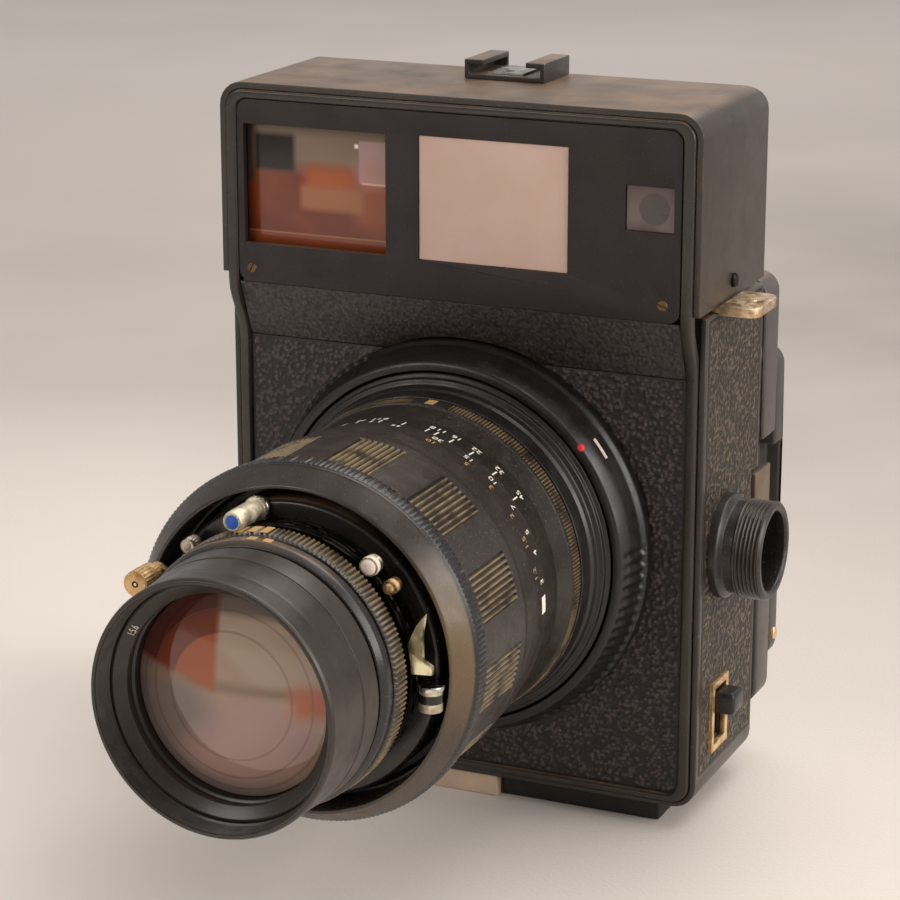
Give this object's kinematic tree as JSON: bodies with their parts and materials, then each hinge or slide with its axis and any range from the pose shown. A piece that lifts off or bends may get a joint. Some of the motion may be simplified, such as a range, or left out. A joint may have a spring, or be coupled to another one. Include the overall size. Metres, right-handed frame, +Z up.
{
  "type": "press camera",
  "caption": "Medium-format rangefinder press camera with a leaf-shutter lens in a helical focusing mount and a breech-lock ring, standing on its feet.",
  "frame": {"origin": "mouth of the tripod socket, on the plane that the camera stands on", "axes": "+Z up, the lens looks along -Y, +X towards the grip side (the viewer's right when facing the camera)"},
  "size_m": [0.1388, 0.1924, 0.1828],
  "materials": {
    "body_paint": "satin black crackle paint",
    "frame_paint": "semi-gloss black paint on a rounded bead",
    "panel_black": "fine satin black",
    "front_leatherette": "pebbled black covering",
    "side_leatherette": "pebbled black covering",
    "clear_glass": "polished",
    "frosted_glass": "frosted white",
    "grey_glass": "tinted",
    "inner_black": "matt black",
    "amber_mirror": "half-silvered, amber",
    "plated_steel": "satin plated",
    "mirror": "silvered",
    "eyepiece_plastic": "matt black",
    "shoe_metal": "worn satin plating",
    "screws": "blackened",
    "worn_brass": "worn plating over brass",
    "black_anodised": "satin black anodised",
    "adapter_paint": "satin dark grey",
    "cover_black": "satin black",
    "feet_black": "black",
    "scale_black": "satin black with pale figures",
    "focus_anodised": "black anodised with worn ribs",
    "flange_satin": "worn satin black",
    "shutter_enamel": "satin black enamel",
    "satin_chrome": "satin chrome",
    "coated_glass": "amber and pink coated"
  },
  "bodies": {
    "root": {"body_casting": "body_paint", "front_frame": "frame_paint", "window_panel": "panel_black", "name_band": "panel_black", "front_covering": "front_leatherette", "side_covering_right": "side_leatherette", "side_covering_left": "side_leatherette", "top_cover": "body_paint", "viewfinder_window": "clear_glass", "illumination_window": "frosted_glass", "rangefinder_window": "grey_glass", "viewfinder_tunnel": "inner_black", "beam_splitter": "amber_mirror", "frame_mask": "plated_steel", "eyepiece_block": "eyepiece_plastic", "eyepiece_lens": "clear_glass", "accessory_shoe": "shoe_metal", "shoe_spring": "plated_steel", "panel_screws": "screws", "cover_screws": "screws", "strap_lug": "worn_brass", "grip_boss": "black_anodised", "lever_escutcheon": "worn_brass", "back_adapter": "adapter_paint", "back_cover": "cover_black", "light_seal": "inner_black", "base_feet": "feet_black", "tripod_plate": "plated_steel", "mount_plate": "inner_black", "mount_screws": "plated_steel", "lens_base": "black_anodised", "depth_scale_ring": "scale_black"},
    "finder_mirror": {"rangefinder_mirror": "mirror"},
    "finder_arm": {"rangefinder_arm": "plated_steel"},
    "frame_dial": {"frame_selector_dial": "eyepiece_plastic"},
    "release_catch": {"back_release_lever": "black_anodised"},
    "slide_right": {"lock_slide_right": "cover_black"},
    "slide_left": {"lock_slide_left": "cover_black"},
    "breech": {"breech_ring": "black_anodised"},
    "focus": {"focus_ring": "focus_anodised", "focus_flange": "flange_satin"},
    "head": {"head_tube": "black_anodised", "shutter_case": "shutter_enamel", "sync_socket": "worn_brass", "cable_socket": "satin_chrome", "shutter_blades": "inner_black", "iris_blades": "inner_black", "front_barrel": "black_anodised", "name_ring": "black_anodised", "front_element": "coated_glass", "middle_element": "coated_glass", "rear_cell": "inner_black", "rear_element": "coated_glass"},
    "speed": {"speed_ring": "shutter_enamel"},
    "aperture": {"aperture_ring": "black_anodised", "aperture_lever": "satin_chrome"},
    "cocking": {"cocking_lever": "satin_chrome"},
    "sync": {"sync_selector": "worn_brass"},
    "release": {"release_lever": "satin_chrome"}
  },
  "joints": [
    {"name": "mount_lock", "type": "hinge", "parent": "root", "child": "breech", "pos_m": [0, -0.024, 0.0685], "axis": [0, -1, 0], "range_deg": [0, 35]},
    {"name": "focus_turn", "type": "hinge", "parent": "root", "child": "focus", "pos_m": [0, -0.084, 0.0685], "axis": [0, -1, 0], "range_deg": [0, 220]},
    {"name": "head_extend", "type": "slide", "parent": "root", "child": "head", "axis": [0, -1, 0], "range_m": [0, 0.0128]},
    {"name": "finder_arm_swing", "type": "hinge", "parent": "root", "child": "finder_arm", "pos_m": [0.02, -0.002, 0.121], "axis": [-1, 0, 0], "range_deg": [0, 12]},
    {"name": "finder_mirror_turn", "type": "hinge", "parent": "root", "child": "finder_mirror", "pos_m": [0.0497, -0.012, 0.1553], "axis": [0, 0, 1], "range_deg": [0, 5]},
    {"name": "speed_turn", "type": "hinge", "parent": "head", "child": "speed", "pos_m": [0, -0.12, 0.0685], "axis": [0, -1, 0], "range_deg": [-75, 75]},
    {"name": "aperture_turn", "type": "hinge", "parent": "head", "child": "aperture", "pos_m": [0, -0.124, 0.0685], "axis": [0, -1, 0], "range_deg": [0, 45]},
    {"name": "cocking_turn", "type": "hinge", "parent": "head", "child": "cocking", "pos_m": [0, -0.109, 0.0685], "axis": [0, -1, 0], "range_deg": [-35, 0], "stiffness_Nm_per_rad": 0.02, "springref_deg": 5.73},
    {"name": "sync_turn", "type": "hinge", "parent": "head", "child": "sync", "pos_m": [0, -0.112, 0.0685], "axis": [0, -1, 0], "range_deg": [-8, 0]},
    {"name": "release_turn", "type": "hinge", "parent": "head", "child": "release", "pos_m": [0, -0.113, 0.0685], "axis": [0, -1, 0], "range_deg": [0, 6], "stiffness_Nm_per_rad": 0.02, "springref_deg": -5.73},
    {"name": "catch_slide", "type": "slide", "parent": "root", "child": "release_catch", "axis": [0, 0, -1], "range_m": [0, 0.006], "stiffness_N_per_m": 40, "springref_m": -0.002},
    {"name": "slide_right_move", "type": "slide", "parent": "root", "child": "slide_right", "axis": [0, 0, -1], "range_m": [0, 0.005]},
    {"name": "slide_left_move", "type": "slide", "parent": "root", "child": "slide_left", "axis": [0, 0, -1], "range_m": [0, 0.005]},
    {"name": "frame_dial_turn", "type": "hinge", "parent": "root", "child": "frame_dial", "pos_m": [0.022, 0.0248, 0.154], "axis": [0, 1, 0], "range_deg": [0, 90]}
  ],
  "couplings": [
    {"joint": "head_extend", "follows": "focus_turn", "m_per_rad": 0.0033},
    {"joint": "finder_arm_swing", "follows": "focus_turn", "ratio": 0.05},
    {"joint": "finder_mirror_turn", "follows": "focus_turn", "ratio": 0.02}
  ]
}
